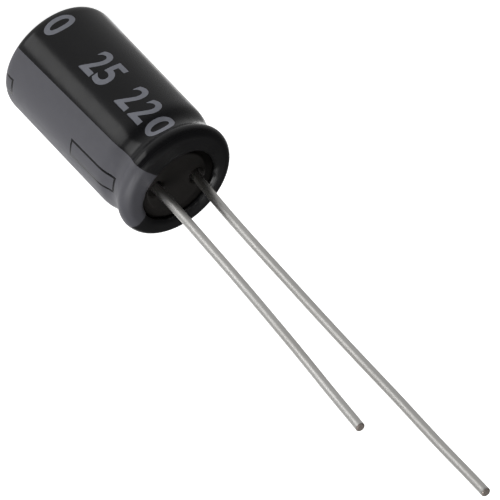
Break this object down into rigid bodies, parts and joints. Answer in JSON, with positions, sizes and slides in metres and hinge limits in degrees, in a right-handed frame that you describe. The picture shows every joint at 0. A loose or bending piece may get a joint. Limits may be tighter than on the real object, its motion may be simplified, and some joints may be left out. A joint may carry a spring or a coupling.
{
  "type": "electrolytic capacitor",
  "caption": "Radial aluminium electrolytic capacitor: a sleeved cylindrical can with a rolled groove, a rubber bung and a long and a short wire lead.",
  "frame": {"origin": "centre of the seating plane of the can's head, z = 0, which it stands on with its leads up", "axes": "+Z along the can's axis from the head to the leads; +X from the negative lead to the positive lead"},
  "size_m": [0.0066, 0.0066, 0.0371],
  "materials": {
    "sleeve_film": "satin shrunk film",
    "drawn_aluminium": "bright, drawn",
    "bung_rubber": "matt, moulded",
    "tinned_wire": "bright tin over copper-clad steel",
    "tab_aluminium": "dull, etched",
    "foil_and_paper": "foil and paper, soaked in electrolyte",
    "tape_film": "thin polypropylene tape"
  },
  "bodies": {
    "root": {"sleeve": "sleeve_film", "can": "drawn_aluminium", "bung": "bung_rubber", "positive_wire": "tinned_wire", "negative_wire": "tinned_wire", "positive_tab": "tab_aluminium", "negative_tab": "tab_aluminium", "winding": "foil_and_paper", "closing_tape": "tape_film"}
  },
  "joints": []
}
